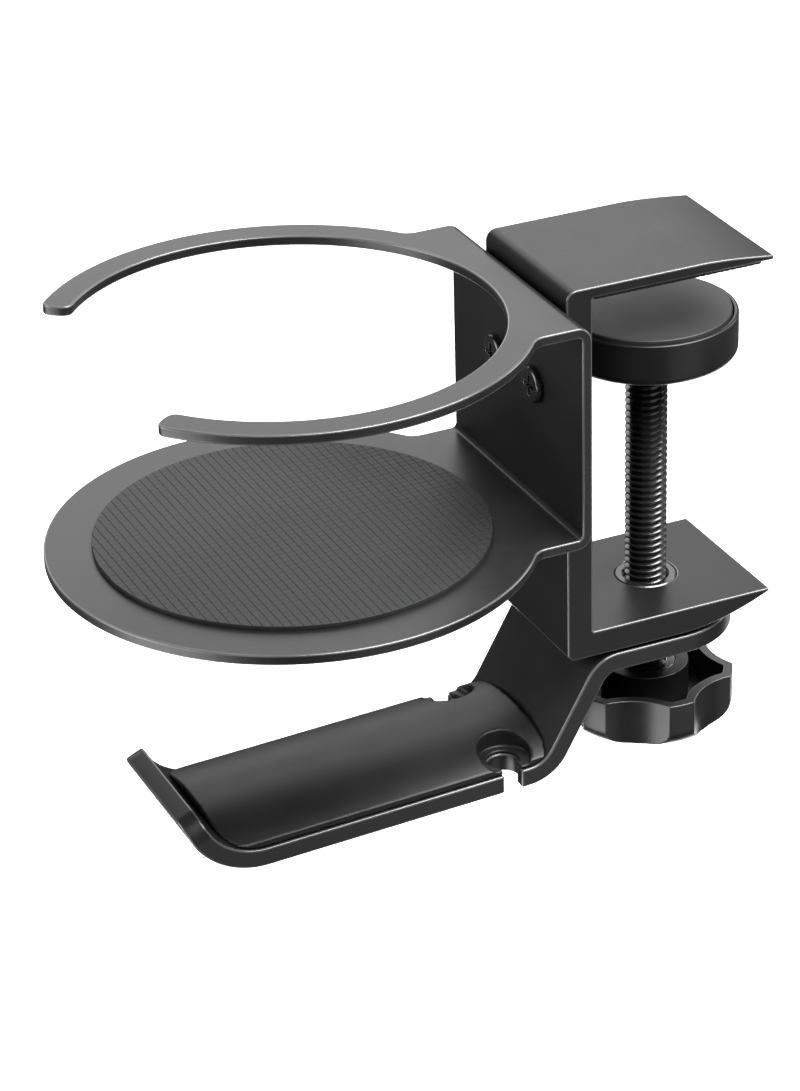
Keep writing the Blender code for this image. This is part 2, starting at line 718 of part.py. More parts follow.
def make_hanger_fasteners(plastic, steel, clamp, hanger):
    """The low-friction washer, the spring washer and the nut that keep the hanger on the bushing."""
    bore = JOURNAL + GAP
    jaw = LOWER_JAW_BOTTOM - GAP
    ring("hanger_washer", bore, 13.0, HANGER_TOP + GAP, jaw - 0.05, material=plastic, parent=hanger)
    plate_bottom = HANGER_TOP - PLATE
    ring("spring_washer", bore, 10.0, plate_bottom - 0.7, plate_bottom - GAP, material=steel, parent=hanger)
    nut_top = plate_bottom - 0.8
    corner = NUT_ACROSS_FLATS / 2 / math.cos(math.pi / 6)
    low = BUSHING_BOTTOM
    nut = cylinder("hanger_nut", (0, 0), corner, low, nut_top, steps=6, material=steel, parent=clamp)
    combine(nut, "DIFFERENCE", cylinder("nut_bore", (0, 0), bore, low - 1, nut_top + 1, steps=ROUND))


def make_empty(name, parent=None):
    empty = bpy.data.objects.new(name, None)
    bpy.context.scene.collection.objects.link(empty)
    empty.parent = parent
    return empty


def main():
    clear_scene()
    cutters = bpy.data.collections.new("cutters")
    bpy.context.scene.collection.children.link(cutters)
    coated = make_material("coated_metal", (0.035, 0.035, 0.037), 0.42, 0.6)
    black_steel = make_material("black_steel", (0.03, 0.03, 0.032), 0.3, 0.8)
    rubber = make_material("rubber", (0.03, 0.03, 0.03), 0.75, 0.0)
    inlay = make_material("inlay_rubber", (0.07, 0.07, 0.07), 0.6, 0.0)
    plastic = make_material("black_plastic", (0.025, 0.025, 0.027), 0.38, 0.0)
    nylon = make_material("nylon", (0.02, 0.02, 0.02), 0.5, 0.0)

    clamp = make_empty("clamp_body")
    pad = make_empty("pad_body", clamp)
    screw = make_empty("screw_body", pad)
    hanger = make_empty("hanger_body", clamp)

    make_clamp_frame(coated, clamp)
    make_jaw_liner(rubber, clamp)
    make_threaded_bushing(black_steel, clamp)
    make_cup_bracket(coated, clamp)
    make_cup_mat(rubber, clamp)
    seat = BRACKET_BACK_X - SHEET - GAP
    for name, side in (("bracket_screw_near", -1), ("bracket_screw_far", 1)):
        make_screw(name, (side * SCREW_Y, SCREW_Z), seat, SCREW_LENGTH, "X", black_steel, clamp)
    make_pad_cup(plastic, pad)
    make_pad_plate(plastic, pad)
    make_pad_inlay(inlay, pad)
    make_clamp_screw(black_steel, screw)
    make_screw_flange(black_steel, screw)
    make_knob(plastic, screw)
    make_knob_insert(black_steel, screw)
    make_knob_screw(black_steel, screw)
    make_hanger_bracket(coated, hanger)
    make_hanger_pad(rubber, hanger)
    make_hanger_fasteners(nylon, black_steel, clamp, hanger)


main()
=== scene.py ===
"""The finished look of the desk clamp cup holder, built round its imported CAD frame.

Lengths are in millimetres until a mesh is made. The origin is on the clamp screw's axis at the
upper jaw's gripping face, +X points from the cup ring to the jaws' open end, and +Z is up.
"""

import json
import math

import bmesh
import bpy
from mathutils import Matrix, Quaternion, Vector


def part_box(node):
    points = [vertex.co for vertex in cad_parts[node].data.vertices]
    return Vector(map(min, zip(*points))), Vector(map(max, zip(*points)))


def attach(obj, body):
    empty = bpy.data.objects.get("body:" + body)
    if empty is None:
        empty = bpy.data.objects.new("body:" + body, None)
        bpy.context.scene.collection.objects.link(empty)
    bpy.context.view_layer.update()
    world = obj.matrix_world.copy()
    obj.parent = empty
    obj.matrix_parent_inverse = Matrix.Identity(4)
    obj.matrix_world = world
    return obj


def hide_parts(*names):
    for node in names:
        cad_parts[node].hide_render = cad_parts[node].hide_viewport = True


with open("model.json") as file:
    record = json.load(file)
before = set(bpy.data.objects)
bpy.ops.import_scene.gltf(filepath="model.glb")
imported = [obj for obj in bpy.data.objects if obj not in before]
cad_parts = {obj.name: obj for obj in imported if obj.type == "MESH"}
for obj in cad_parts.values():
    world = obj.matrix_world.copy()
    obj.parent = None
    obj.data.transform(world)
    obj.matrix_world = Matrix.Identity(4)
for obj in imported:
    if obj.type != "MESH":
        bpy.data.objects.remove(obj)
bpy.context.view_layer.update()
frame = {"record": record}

MM = 0.001


def span(node):
    """A CAD node's lowest and highest corners, in millimetres."""
    low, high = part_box(node)
    return low / MM, high / MM


# Places read from the frame.
clamp_low, clamp_high = span("clamp_frame")
bracket_low, bracket_high = span("cup_bracket")
mat_low, mat_high = span("cup_mat")
liner_low, liner_high = span("jaw_liner")
bushing_low, bushing_high = span("threaded_bushing")
cup_low, cup_high = span("pad_cup")
inlay_low, inlay_high = span("pad_inlay")
plate_low, plate_high = span("pad_plate")
rod_low, rod_high = span("clamp_screw")
knob_low, knob_high = span("knob")
hanger_low, hanger_high = span("hanger_bracket")
saddle_low, saddle_high = span("hanger_pad")
nut_low, nut_high = span("hanger_nut")

# Clamp frame: a cast C with a thick back and lower jaw, and a thinner upper jaw.
WEB = 6.2
UPPER_JAW_UNDERSIDE = 0.6
UPPER_JAW_TIP = (20.5, 1.6)
UPPER_TAPER_START_X = 3.0
LOWER_JAW_TOP = bushing_high.z
LOWER_JAW_TIP = (clamp_high.x, LOWER_JAW_TOP - 0.7)
LOWER_TAPER_START_X = 0.0
CLAMP_CORNER = 2.5
CLAMP_CHAMFER = 1.2

# Liner under the upper jaw, with grooves between its ribs.
LINER_RIBS = 26
LINER_MARGIN = 0.8
LINER_CHAMFER = 0.12
LINER_GROOVE = 0.14

# Cup bracket: one bent sheet with an open ring above and a round base below.
SHEET = 2.3
BRACKET_WIDTH = 63.1
BASE_TOP = bracket_low.z + SHEET
OUTER_BEND = 3.5
INNER_BEND = 1.2
RING_OUTER = (bracket_high.y - bracket_low.y) / 2
CUP_X = (mat_low.x + mat_high.x) / 2
RING_INNER = RING_OUTER - 6.7
RING_TIP_ANGLE = 142.0
RING_TIP_LENGTH = 2.6
FLARE_FILLET = 4.0

# Mat on the base, moulded with a square grid of fine grooves.
MAT_RADIUS = (mat_high.y - mat_low.y) / 2
MAT_EDGE = 0.35
MAT_GRID_MARGIN = 2.1
MAT_STEPS = 180
MAT_CELL = 1.87
MAT_GROOVE = 0.16
MAT_GROOVE_DEPTH = 0.14

# Screws that hold the bracket to the clamp.
SCREW_Y = 9.3
SCREW_Z = -21.6
SCREW_HEAD = 4.2
SCREW_HEAD_HEIGHT = 1.6
SCREW_SHANK = 2.4
SCREW_LENGTH = 7.0

# Clamp screw and pressure pad.
THREAD_CREST = 4.76
THREAD_ROOT = 3.9
THREAD_PITCH = 1.5875
THREAD_TOP = -24.6
PAD_RADIUS = (cup_high.x - cup_low.x) / 2
PAD_WALL = 1.1
PAD_FLOOR = 2.1
PAD_LEDGE = 4.5
PAD_LEDGE_RADIUS = 10.5
PAD_RIM_ROUND = 0.45
PAD_FOOT_ROUND = 2.0

# Threaded bushing, which the hanger turns on.
BUSHING = (bushing_high.x - bushing_low.x) / 2
BUSHING_BORE = 4.85
JOURNAL = 6.2

# Hanger: a bent plate with a slanted leg, a nearly level bar and an upturned lip.
PLATE = 4.4
HANGER_TOP = hanger_high.z
HANGER_ROUND = 19.5
LEG_CORNER = (-20.8, HANGER_TOP - PLATE / 2, 6.6)
BAR_CORNER = (-34.4, -112.7, 9.0)
LIP_CORNER = (-114.3, -115.9, 16.8)
LIP_END = (-120.1, -103.0)
LIP_ROUND = 6.0
KEYHOLE_X = -43.5
KEYHOLE_Y = 14.0
KEYHOLE_RADIUS = 3.6
SLOT_WIDTH = 4.3
BELOW_BAR = -122.0
PLATE_SLOT_TOP = -105.0

# Crowned pad on the bar.
SADDLE_WIDTH = saddle_high.y - saddle_low.y
SADDLE_SIDE = 1.6
SADDLE_CROWN = 5.9
SADDLE_CROWN_POWER = 2.5
SADDLE_BLOCK_TOP = -96.0
SADDLE_VIEW_TOP = -95.0
SADDLE_SLOT_TOP = -100.0
SADDLE_LEFT_X = saddle_low.x
SADDLE_CORNER = 5.0
RECESS_RADIUS = 6.0
RECESS_FLOOR_Z = -109.8

# Star knob: a hollow moulding with six lobes, a hub and a steel insert.
KNOB_TOP = -104.1
KNOB_BOTTOM = knob_low.z
KNOB_RADIUS = 20.2
KNOB_WAIST = 16.9
KNOB_LOBES = 6
KNOB_LOBE_HALF = 9.0
KNOB_FIRST_LOBE = -33.0
KNOB_WALL = 2.2
KNOB_FOOT = 4.2
KNOB_FLOOR = 2.8
HUB_RADIUS = 10.0
HUB_TOP = knob_high.z
INSERT_RADIUS = 7.0
COUNTERBORE_RADIUS = 5.6
COUNTERBORE_DEPTH = 2.5

GAP = 0.1
SLIVER = 0.03

# Steps round a large circle, a screw and a drilled hole.
ROUND = 128
SCREW_STEPS = 64
HOLE_STEPS = 32

FLOOR_HEIGHT = -0.30
WORLD_REFLECTED = 0.12


# Flat outlines, as lists of points in millimetres.


def arc(center, radius, start, end, count):
    """Points along an arc between two angles in degrees, both ends included."""
    steps = [math.radians(start + (end - start) * i / count) for i in range(count + 1)]
    return [(center[0] + radius * math.cos(a), center[1] + radius * math.sin(a)) for a in steps]


def circle(center, radius, count=ROUND):
    return arc(center, radius, 0, 360 * (count - 1) / count, count - 1)


def eased(start, end, power, count):
    """Points from start to end that leave start level and steepen as they go."""
    points = []
    for i in range(count + 1):
        t = i / count
        rise = (end[1] - start[1]) * t**power
        points.append((start[0] + (end[0] - start[0]) * t, start[1] + rise))
    return points


def rounded_path(corners, per_bend):
    """Points and headings along straight runs whose inner corners (x, z, radius) are bends."""
    path = []
    vectors = [Vector(corner[:2]) for corner in corners]
    for i, here in enumerate(vectors):
        if i == 0 or i == len(vectors) - 1:
            ahead = (vectors[1] - here) if i == 0 else (here - vectors[i - 1])
            path.append((here, ahead.normalized()))
            continue
        before = (here - vectors[i - 1]).normalized()
        after = (vectors[i + 1] - here).normalized()
        turn = before.angle_signed(after)
        radius = corners[i][2]
        start = here - before * radius * math.tan(abs(turn) / 2)
        side = -math.copysign(1, turn)
        center = start + Vector((-before.y, before.x)) * radius * side
        for step in range(per_bend + 1):
            heading = before.copy()
            heading.rotate(Matrix.Rotation(-turn * step / per_bend, 2))
            path.append((center - Vector((-heading.y, heading.x)) * radius * side, heading))
    return path


def offset_path(path, distance):
    """The path moved to its left by the distance."""
    moved = [point + Vector((-heading.y, heading.x)) * distance for point, heading in path]
    return [tuple(point) for point in moved]


# Solids.


def link_mesh(name, build):
    bmesh.ops.recalc_face_normals(build, faces=build.faces)
    mesh = bpy.data.meshes.new(name)
    build.to_mesh(mesh)
    build.free()
    obj = bpy.data.objects.new(name, mesh)
    bpy.context.scene.collection.objects.link(obj)
    return obj


def place(axis, a, b, height):
    """A point of an outline (a, b) at a height along an axis, in metres."""
    point = {"X": (height, a, b), "Y": (a, height, b), "Z": (a, b, height)}[axis]
    return Vector(point) * MM


def stack(name, layers, axis="Z"):
    """A closed solid through outlines of equal length, each at its height along the axis."""
    build = bmesh.new()
    rings = []
    for outline, height in layers:
        rings.append([build.verts.new(place(axis, a, b, height)) for a, b in outline])
    build.faces.new(rings[0])
    build.faces.new(rings[-1])
    for low, high in zip(rings, rings[1:]):
        for i in range(len(low)):
            j = (i + 1) % len(low)
            build.faces.new((low[i], low[j], high[j], high[i]))
    return link_mesh(name, build)


def prism(name, outline, low, high, axis="Z"):
    return stack(name, [(outline, low), (outline, high)], axis)


def lathe(name, profile, steps=ROUND):
    """A ring turned round the Z axis from a closed profile of (radius, height) points."""
    build = bmesh.new()
    loops = []
    for step in range(steps):
        turn = math.tau * step / steps
        across, along = math.cos(turn), math.sin(turn)
        loops.append([build.verts.new(Vector((r * across, r * along, z)) * MM) for r, z in profile])
    for here, after in zip(loops, loops[1:] + loops[:1]):
        for k in range(len(profile)):
            m = (k + 1) % len(profile)
            build.faces.new((here[k], after[k], after[m], here[m]))
    return link_mesh(name, build)


def washer(name, inner, outer, bottom, top):
    return lathe(name, [(outer, top), (outer, bottom), (inner, bottom), (inner, top)])


def settle(obj):
    """Applies the piece's modifiers and removes the objects that they used."""
    tools = [step.object for step in obj.modifiers if step.type == "BOOLEAN"]
    graph = bpy.context.evaluated_depsgraph_get()
    mesh = bpy.data.meshes.new_from_object(obj.evaluated_get(graph), depsgraph=graph)
    obj.modifiers.clear()
    obj.data = mesh
    for tool in tools:
        bpy.data.objects.remove(tool, do_unlink=True)
    return obj


def combine(obj, operation, other):
    step = obj.modifiers.new(f"{operation.lower()}_{other.name}", "BOOLEAN")
    step.operation = operation
    step.solver = "EXACT"
    step.object = other
    return settle(obj)


def soften(obj, width, segments=3, crease=30):
    """Rounds edges that are sharper than the crease angle, and gives them a painted highlight: the
    second, lighter material.
    """
    obj.data.materials.clear()
    obj.data.materials.append(None)
    obj.data.materials.append(None)
    build = bmesh.new()
    build.from_mesh(obj.data)
    bmesh.ops.remove_doubles(build, verts=build.verts, dist=SLIVER * MM)
    bmesh.ops.dissolve_degenerate(build, edges=build.edges, dist=SLIVER * MM)
    flat = math.radians(0.3)
    bmesh.ops.dissolve_limit(build, angle_limit=flat, verts=build.verts, edges=build.edges)
    build.to_mesh(obj.data)
    build.free()
    rounding = obj.modifiers.new("rounding", "BEVEL")
    rounding.width = width * MM
    rounding.segments = segments
    rounding.limit_method = "ANGLE"
    rounding.angle_limit = math.radians(crease)
    rounding.miter_outer = "MITER_ARC"
    # The rounded edge faces take slot 1, the lighter copy of the finish that paints a highlight on
    # them.
    rounding.material = 1
    rounding.use_clamp_overlap = False
    return settle(obj)


def melt(obj, cell, rounds):
    """Remakes the piece's skin as even small cells and relaxes it, so that every edge turns soft."""
    skin = obj.modifiers.new("skin", "REMESH")
    skin.mode = "VOXEL"
    skin.voxel_size = cell * MM
    relaxed = obj.modifiers.new("relaxed", "SMOOTH")
    relaxed.factor = 0.5
    relaxed.iterations = rounds
    return settle(obj)


def threaded_rod(low, high, segments=64):
    """A rod with a right-handed thread, its rows of vertices running along the helix."""
    flanks = [
        (0.00, THREAD_ROOT), (0.10, THREAD_ROOT), (0.20, THREAD_ROOT + 0.22),
        (0.36, THREAD_CREST - 0.16), (0.44, THREAD_CREST), (0.56, THREAD_CREST),
        (0.64, THREAD_CREST - 0.16), (0.80, THREAD_ROOT + 0.22), (0.90, THREAD_ROOT),
    ]
    build = bmesh.new()
    turns = int((high - low) / THREAD_PITCH) - 1
    per_turn = len(flanks)
    columns = []
    for i in range(segments):
        angle = math.tau * i / segments
        column = []
        for k in range(per_turn * turns + 1):
            share, radius = flanks[k % per_turn]
            height = low + THREAD_PITCH * (0.5 + k // per_turn + share + i / segments)
            spot = (radius * math.cos(angle), radius * math.sin(angle), height)
            column.append(build.verts.new(Vector(spot) * MM))
        columns.append(column)
    core = circle((0, 0), THREAD_ROOT, segments)
    bottom = [build.verts.new(place("Z", *point, low)) for point in core]
    top = [build.verts.new(place("Z", *point, high)) for point in core]
    build.faces.new(bottom)
    build.faces.new(top)
    for i in range(segments - 1):
        here, after = columns[i], columns[i + 1]
        build.faces.new((bottom[i], bottom[i + 1], after[0], here[0]))
        build.faces.new((here[-1], after[-1], top[i + 1], top[i]))
        for k in range(len(here) - 1):
            build.faces.new((here[k], after[k], after[k + 1], here[k + 1]))
    last, first = columns[-1], columns[0]
    build.faces.new((bottom[-1], bottom[0], *first[: per_turn + 1], last[0]))
    build.faces.new((first[-1], top[0], top[-1], *last[: -per_turn - 2 : -1]))
    for k in range(len(last) - per_turn - 1):
        build.faces.new((last[k], first[k + per_turn], first[k + per_turn + 1], last[k + 1]))
    return build


# Materials.


class Paint:
    """A material's node tree, with short ways to add and link its nodes."""

    def __init__(self, name, color, roughness, metallic=0.0, **sockets):
        self.material = bpy.data.materials.new(name)
        self.material.use_nodes = True
        self.nodes = self.material.node_tree.nodes
        self.links = self.material.node_tree.links
        self.shader = self.nodes["Principled BSDF"]
        self.color = color
        self.roughness = roughness
        self.shader.inputs["Metallic"].default_value = metallic
        for socket, value in sockets.items():
            self.shader.inputs[socket.replace("_", " ")].default_value = value
        coordinates = self.nodes.new("ShaderNodeTexCoord")
        self.space = coordinates.outputs["Object"]
        self.height = None

    def node(self, kind, **settings):
        made = self.nodes.new(kind)
        for setting, value in settings.items():
            setattr(made, setting, value)
        return made

    def noise(self, size, detail=2.0, stretch=None):
        """Noise whose features are about this many millimetres across, from 0 to 1."""
        texture = self.node("ShaderNodeTexNoise")
        texture.inputs["Scale"].default_value = 1 / (size * MM)
        texture.inputs["Detail"].default_value = detail
        source = self.space
        if stretch:
            mapping = self.node("ShaderNodeMapping")
            mapping.inputs["Scale"].default_value = stretch
            self.links.new(source, mapping.inputs["Vector"])
            source = mapping.outputs["Vector"]
        self.links.new(source, texture.inputs["Vector"])
        return texture.outputs["Fac"]

    def spread(self, value, low, high, start=0.3, end=0.7):
        """The value's middle range stretched between two numbers."""
        ramp = self.node("ShaderNodeMapRange")
        ramp.inputs["From Min"].default_value = start
        ramp.inputs["From Max"].default_value = end
        ramp.inputs["To Min"].default_value = low
        ramp.inputs["To Max"].default_value = high
        self.links.new(value, ramp.inputs["Value"])
        return ramp.outputs["Result"]

    def math(self, operation, first, second):
        step = self.node("ShaderNodeMath", operation=operation)
        for socket, value in zip(step.inputs, (first, second)):
            if isinstance(value, (int, float)):
                socket.default_value = value
            else:
                self.links.new(value, socket)
        return step.outputs["Value"]

    def tint(self, value, dark, light):
        """Mixes the base colour between a darker and a lighter share of itself."""
        mix = self.node("ShaderNodeMix", data_type="RGBA")
        mix.inputs["A"].default_value = (*[c * dark for c in self.color], 1)
        mix.inputs["B"].default_value = (*[c * light for c in self.color], 1)
        self.links.new(value, mix.inputs["Factor"])
        self.links.new(mix.outputs["Result"], self.shader.inputs["Base Color"])

    def vary_roughness(self, value, swing):
        self.links.new(self.spread(value, self.roughness - swing, self.roughness + swing),
                       self.shader.inputs["Roughness"])

    def bump(self, value, depth):
        """Relief of this depth in millimetres, added on top of any earlier relief."""
        relief = self.node("ShaderNodeBump")
        relief.inputs["Distance"].default_value = depth * MM
        relief.inputs["Strength"].default_value = 1.0
        self.links.new(value, relief.inputs["Height"])
        if self.height:
            self.links.new(self.height, relief.inputs["Normal"])
        self.height = relief.outputs["Normal"]
        self.links.new(self.height, self.shader.inputs["Normal"])


def coated_metal(name, color, roughness, **sockets):
    """Satin powder coat: a fine orange-peel skin over a slow cloud of tone."""
    paint = Paint(name, color, roughness, **sockets)
    cloud = paint.noise(14, 4)
    grain = paint.noise(0.42, 3)
    paint.tint(paint.spread(cloud, 0.0, 1.0), 0.8, 1.3)
    paint.vary_roughness(paint.math("ADD", paint.math("MULTIPLY", cloud, 0.5),
                                    paint.math("MULTIPLY", grain, 0.5)), 0.05)
    paint.bump(paint.noise(1.5, 2), 0.008)
    paint.bump(grain, 0.009)
    return paint.material


def black_steel(name, color, roughness, metallic=0.9):
    """Blackened steel with fine drawn marks."""
    paint = Paint(name, color, roughness, metallic, Specular_IOR_Level=0.9)
    marks = paint.noise(0.5, 3, stretch=(1, 1, 6))
    paint.tint(paint.spread(marks, 0, 1), 0.7, 1.5)
    paint.vary_roughness(marks, 0.06)
    paint.bump(marks, 0.004)
    return paint.material


def moulded_plastic(name, color, roughness):
    """Fine spark-eroded texture, as on a moulded knob."""
    paint = Paint(name, color, roughness)
    grain = paint.noise(0.3, 2)
    cloud = paint.noise(9, 3)
    paint.tint(paint.spread(cloud, 0, 1), 0.8, 1.3)
    paint.vary_roughness(paint.math("ADD", paint.math("MULTIPLY", cloud, 0.5),
                                    paint.math("MULTIPLY", grain, 0.5)), 0.05)
    paint.bump(grain, 0.006)
    return paint.material


def soft_rubber(name, color, roughness, grain_size=0.16, grain_depth=0.006, specular=0.5):
    """Matt rubber or silicone with a fine dull skin and a little uneven bloom."""
    paint = Paint(name, color, roughness, Specular_IOR_Level=specular)
    bloom = paint.noise(9, 4)
    grain = paint.noise(grain_size, 2)
    paint.tint(paint.spread(bloom, 0, 1), 0.86, 1.18)
    paint.vary_roughness(paint.math("ADD", paint.math("MULTIPLY", bloom, 0.5),
                                    paint.math("MULTIPLY", grain, 0.5)), 0.05)
    paint.bump(grain, grain_depth)
    return paint.material


# Each painted-highlight look is the same finish made several times lighter and glossier, and paints a
# bright highlight line along every rounded edge.
LOOKS = {
    "coated_metal": coated_metal("coated_metal", (0.0095, 0.0095, 0.0098), 0.36),
    "coated_metal_edge": coated_metal(
        "coated_metal_edge", (0.07, 0.07, 0.07), 0.24, Specular_IOR_Level=0.9
    ),
    "cast_metal": coated_metal("cast_metal", (0.0085, 0.0085, 0.0088), 0.37, Specular_IOR_Level=0.33),
    "cast_metal_edge": coated_metal(
        "cast_metal_edge", (0.06, 0.06, 0.06), 0.24, Specular_IOR_Level=0.8
    ),
    "black_oxide": black_steel("black_oxide", (0.012, 0.012, 0.0125), 0.2, 0.0),
    "black_steel": black_steel("black_steel", (0.085, 0.085, 0.088), 0.24),
    "black_steel_edge": black_steel("black_steel_edge", (0.4, 0.4, 0.4), 0.2),
    "black_plastic": moulded_plastic("black_plastic", (0.007, 0.007, 0.0074), 0.36),
    "black_plastic_edge": moulded_plastic("black_plastic_edge", (0.04, 0.04, 0.04), 0.24),
    "nylon": moulded_plastic("nylon", (0.012, 0.012, 0.012), 0.45),
    "rubber": soft_rubber("mat_rubber", (0.0125, 0.0128, 0.013), 0.54, specular=0.38),
    "saddle": soft_rubber("saddle_silicone", (0.0075, 0.0075, 0.0078), 0.45, 0.35, 0.004, 0.36),
    "inlay_rubber": soft_rubber("inlay_rubber", (0.024, 0.024, 0.025), 0.5),
}


def show(obj, node, look, smooth=32):
    """Puts a finished piece in its CAD node's place, on the body that the node rides on."""
    if not obj.data.materials:
        obj.data.materials.append(None)
    # Slot 1, on the rounded edges, gets the lighter copy of the look that paints their highlight.
    for place_in_list, name in enumerate((look, look + "_edge")[: len(obj.data.materials)]):
        obj.data.materials[place_in_list] = LOOKS.get(name, LOOKS[look])
    obj.data.shade_smooth()
    obj.data.set_sharp_from_angle(angle=math.radians(smooth))
    level = obj.modifiers.new("flat_faces_stay_flat", "WEIGHTED_NORMAL")
    level.keep_sharp = True
    body = next(name for name, nodes in frame["record"]["behaviour"]["bodies"].items() if node in nodes)
    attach(obj, body)
    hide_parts(node)
    return obj


# Pieces of the clamp.


def clamp_outline():
    back, web_x = clamp_low.x, clamp_low.x + WEB
    corner = (back + CLAMP_CORNER, clamp_high.z - CLAMP_CORNER)
    points = arc(corner, CLAMP_CORNER, 180, 90, 12)
    points += eased((UPPER_TAPER_START_X, clamp_high.z), UPPER_JAW_TIP, 1.6, 16)
    points += [(UPPER_JAW_TIP[0], UPPER_JAW_UNDERSIDE), (web_x, UPPER_JAW_UNDERSIDE)]
    points += [(web_x, LOWER_JAW_TOP), (LOWER_JAW_TIP[0], LOWER_JAW_TOP)]
    points += reversed(eased((LOWER_TAPER_START_X, clamp_low.z), LOWER_JAW_TIP, 1.7, 20))
    points += [(back + CLAMP_CHAMFER, clamp_low.z), (back, clamp_low.z + CLAMP_CHAMFER)]
    return points


def make_clamp_frame():
    frame_piece = prism("clamp", clamp_outline(), clamp_low.y, clamp_high.y, "Y")
    seat = prism("seat", circle((0, 0), BUSHING + GAP), clamp_low.z - 2, LOWER_JAW_TOP + 2)
    combine(frame_piece, "DIFFERENCE", seat)
    for side in (-1, 1):
        hole = circle((side * SCREW_Y, SCREW_Z), SCREW_SHANK + GAP, HOLE_STEPS)
        depth = clamp_low.x + SCREW_LENGTH - SHEET + 1
        combine(frame_piece, "DIFFERENCE", prism("hole", hole, clamp_low.x - 1, depth, "X"))
    show(soften(frame_piece, 0.4), "clamp_frame", "cast_metal")


def make_jaw_liner():
    """A thin pad under the upper jaw, with fine ribs across it for grip."""
    left, right = liner_low.x, liner_high.x
    bottom, top = liner_low.z, liner_high.z
    pitch = (right - left - 2 * LINER_MARGIN) / LINER_RIBS
    outline = [(left, top), (left, bottom + LINER_CHAMFER), (left + LINER_MARGIN, bottom)]
    for rib in range(LINER_RIBS):
        start = left + LINER_MARGIN + rib * pitch
        outline += [(start + 0.35 * pitch, bottom), (start + 0.5 * pitch, bottom + LINER_GROOVE)]
        outline += [(start + 0.65 * pitch, bottom)]
    outline += [(right - LINER_MARGIN, bottom), (right, bottom + LINER_CHAMFER), (right, top)]
    show(prism("liner", outline, liner_low.y, liner_high.y, "Y"), "jaw_liner", "rubber")


def make_threaded_bushing():
    top = bushing_high.z
    jaw = clamp_low.z
    profile = [
        (BUSHING - 0.25, top), (BUSHING, top - 0.25), (BUSHING, jaw - GAP), (JOURNAL, jaw - GAP),
        (JOURNAL, bushing_low.z + 0.3), (JOURNAL - 0.3, bushing_low.z),
        (BUSHING_BORE, bushing_low.z), (BUSHING_BORE, top - 0.6), (BUSHING_BORE + 0.6, top),
    ]
    show(lathe("bushing", profile), "threaded_bushing", "black_steel")


# The cup bracket and what is fixed to it.


def flare(side):
    """The concave fillet between the bracket's straight edge and the ring, and where it starts."""
    edge = BRACKET_WIDTH / 2
    center_y = edge + FLARE_FILLET
    reach = math.sqrt((RING_OUTER + FLARE_FILLET) ** 2 - center_y**2)
    meeting = math.degrees(math.atan2(center_y, reach))
    points = arc((CUP_X + reach, center_y), FLARE_FILLET, -90, meeting - 180, 14)
    return [(x, side * y) for x, y in points], meeting


def ring_tip(side):
    """The rounded end of one arm, from the outer edge to the inner edge."""
    middle = (RING_OUTER + RING_INNER) / 2
    half = (RING_OUTER - RING_INNER) / 2
    straight_end = RING_TIP_ANGLE - math.degrees(RING_TIP_LENGTH / middle)
    points = []
    for step in range(1, 20):
        turn = math.pi * step / 20
        across = math.copysign(abs(math.cos(turn)) ** 0.75, math.cos(turn))
        along = math.sin(turn) ** 0.75
        angle = math.radians(straight_end + math.degrees(RING_TIP_LENGTH * along / middle))
        radius = middle + half * across
        points.append((CUP_X + radius * math.cos(angle), side * radius * math.sin(angle)))
    return points, straight_end


def ring_outline():
    edge = BRACKET_WIDTH / 2
    start = (bracket_high.x + 5, edge)
    near_flare, meeting = flare(-1)
    far_flare, _ = flare(1)
    near_tip, straight_end = ring_tip(-1)
    far_tip, _ = ring_tip(1)
    points = [(start[0], -edge)] + near_flare
    points += arc((CUP_X, 0), RING_OUTER, -meeting, -straight_end, 72)[1:]
    points += near_tip
    points += arc((CUP_X, 0), RING_INNER, -straight_end, straight_end, 150)
    points += reversed(far_tip)
    points += arc((CUP_X, 0), RING_OUTER, straight_end, meeting, 72)[:-1]
    return points + far_flare[::-1] + [start]


def base_outline():
    edge = BRACKET_WIDTH / 2
    near_flare, meeting = flare(-1)
    far_flare, _ = flare(1)
    points = [(bracket_high.x + 5, -edge)] + near_flare
    points += arc((CUP_X, 0), RING_OUTER, -meeting, meeting - 360, 180)[1:-1]
    return points + far_flare[::-1] + [(bracket_high.x + 5, edge)]


def bent_sheet_outline():
    """The bracket's side view: ring flange, upright and base flange, with rounded bends."""
    left = bracket_low.x - 5
    inner_x = bracket_high.x - SHEET
    ring_bottom = bracket_high.z - SHEET
    back = bracket_high.x - OUTER_BEND
    front = inner_x - INNER_BEND
    points = [(left, bracket_high.z)]
    points += arc((back, bracket_high.z - OUTER_BEND), OUTER_BEND, 90, 0, 12)
    points += arc((back, bracket_low.z + OUTER_BEND), OUTER_BEND, 0, -90, 12)
    points += [(left, bracket_low.z), (left, BASE_TOP)]
    points += arc((front, BASE_TOP + INNER_BEND), INNER_BEND, -90, 0, 8)
    points += arc((front, ring_bottom - INNER_BEND), INNER_BEND, 0, 90, 8)
    return points + [(left, ring_bottom)]


def make_cup_bracket():
    middle = (bracket_high.z + BASE_TOP) / 2
    bracket = prism("bracket", ring_outline(), middle, bracket_high.z + 5)
    combine(bracket, "UNION", prism("base_plan", base_outline(), BASE_TOP - 8, middle + 1))
    width = RING_OUTER + 5
    combine(bracket, "INTERSECT", prism("bent_sheet", bent_sheet_outline(), -width, width, "Y"))
    for side in (-1, 1):
        hole = circle((side * SCREW_Y, SCREW_Z), SCREW_SHANK + 3 * GAP, HOLE_STEPS)
        low, high = bracket_high.x - SHEET - 2, bracket_high.x + 2
        combine(bracket, "DIFFERENCE", prism("shank_hole", hole, low, high, "X"))
    show(soften(bracket, 0.38), "cup_bracket", "coated_metal")


